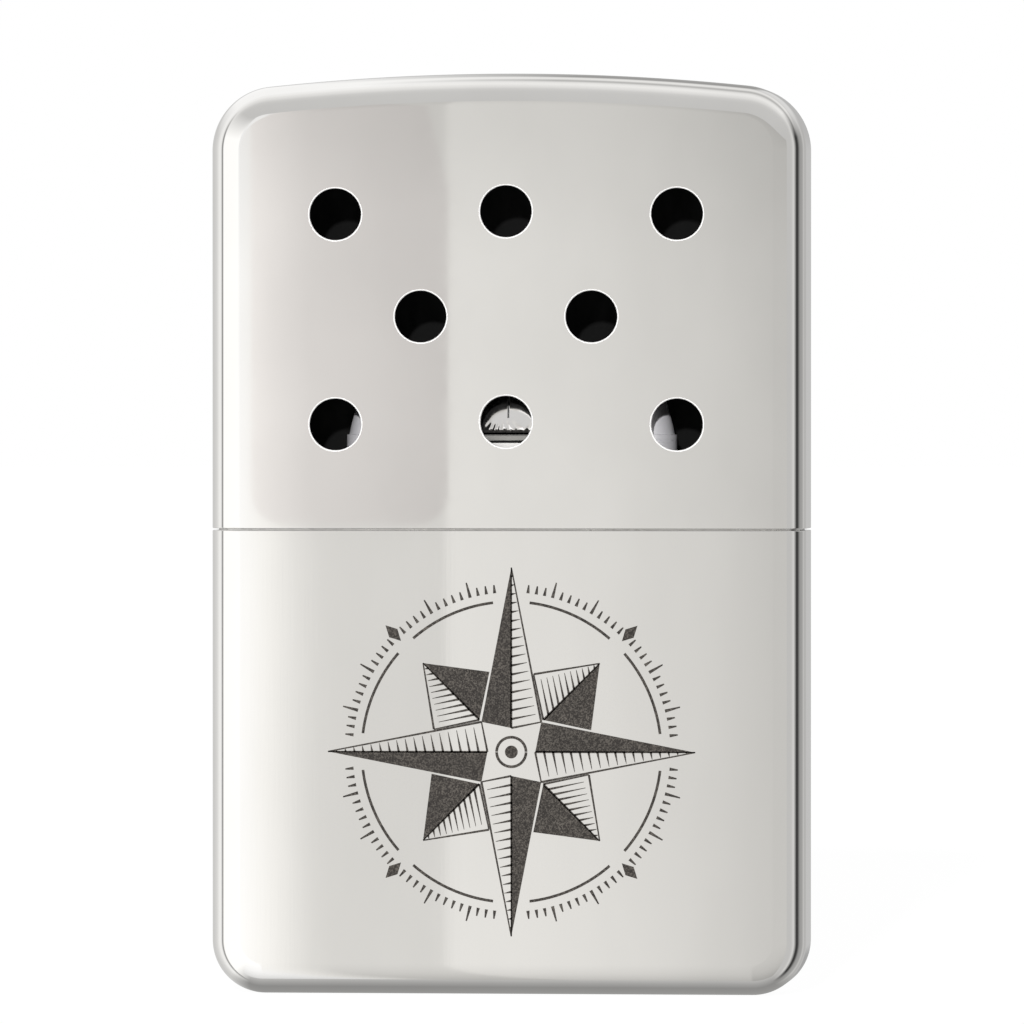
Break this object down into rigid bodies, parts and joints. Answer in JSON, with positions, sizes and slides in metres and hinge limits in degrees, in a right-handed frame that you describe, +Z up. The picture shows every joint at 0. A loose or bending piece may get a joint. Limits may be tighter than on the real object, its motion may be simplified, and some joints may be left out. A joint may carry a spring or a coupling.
{
  "type": "catalytic hand warmer",
  "caption": "Flat pocket hand warmer in two drawn metal halves: a fuel tank below, a vented lift-off lid above, and a catalytic burner on an obround neck.",
  "frame": {"origin": "middle of the flat base of the lower case", "axes": "+Z up towards the lid's crown, +X to the right seen from the vented front, +Y towards the plain back"},
  "size_m": [0.0648, 0.014, 0.1],
  "materials": {
    "polished_chrome": "polished, mirror-like with faint haze",
    "satin_chrome": "bright chrome with a faint upright brushed grain",
    "tank_steel": "plated steel, satin",
    "solder": "dull grey solder",
    "burner_steel": "bright thin stainless sheet with pressing wrinkles",
    "gauze_wire": "woven wire, slightly heat-darkened",
    "catalyst_fibre": "grey felted glass fibre",
    "felt": "off-white felt",
    "cotton": "white cotton",
    "engraved_mark": "matt dark laser engraving in the chrome"
  },
  "bodies": {
    "case": {"case_shell": "satin_chrome", "tank_shoulder": "tank_steel", "filler_neck": "tank_steel", "neck_solder_ring": "solder", "wick_felt": "felt", "packing_wad_1": "cotton", "packing_wad_2": "cotton", "packing_wad_3": "cotton", "packing_wad_4": "cotton", "packing_wad_5": "cotton", "packing_wad_6": "cotton", "packing_wad_7": "cotton", "packing_wad_8": "cotton"},
    "lid": {"lid_shell": "polished_chrome"},
    "burner": {"burner_collar": "tank_steel", "burner_shell": "burner_steel", "support_gauze": "gauze_wire", "catalyst_mat": "catalyst_fibre", "mat_clip_left": "burner_steel", "mat_clip_right": "burner_steel"}
  },
  "joints": [
    {"name": "lid_lift", "type": "slide", "parent": "case", "child": "lid", "axis": [0, 0, 1], "range_m": [0, 0.06]},
    {"name": "burner_lift", "type": "slide", "parent": "case", "child": "burner", "axis": [0, 0, 1], "range_m": [0, 0.02]}
  ]
}
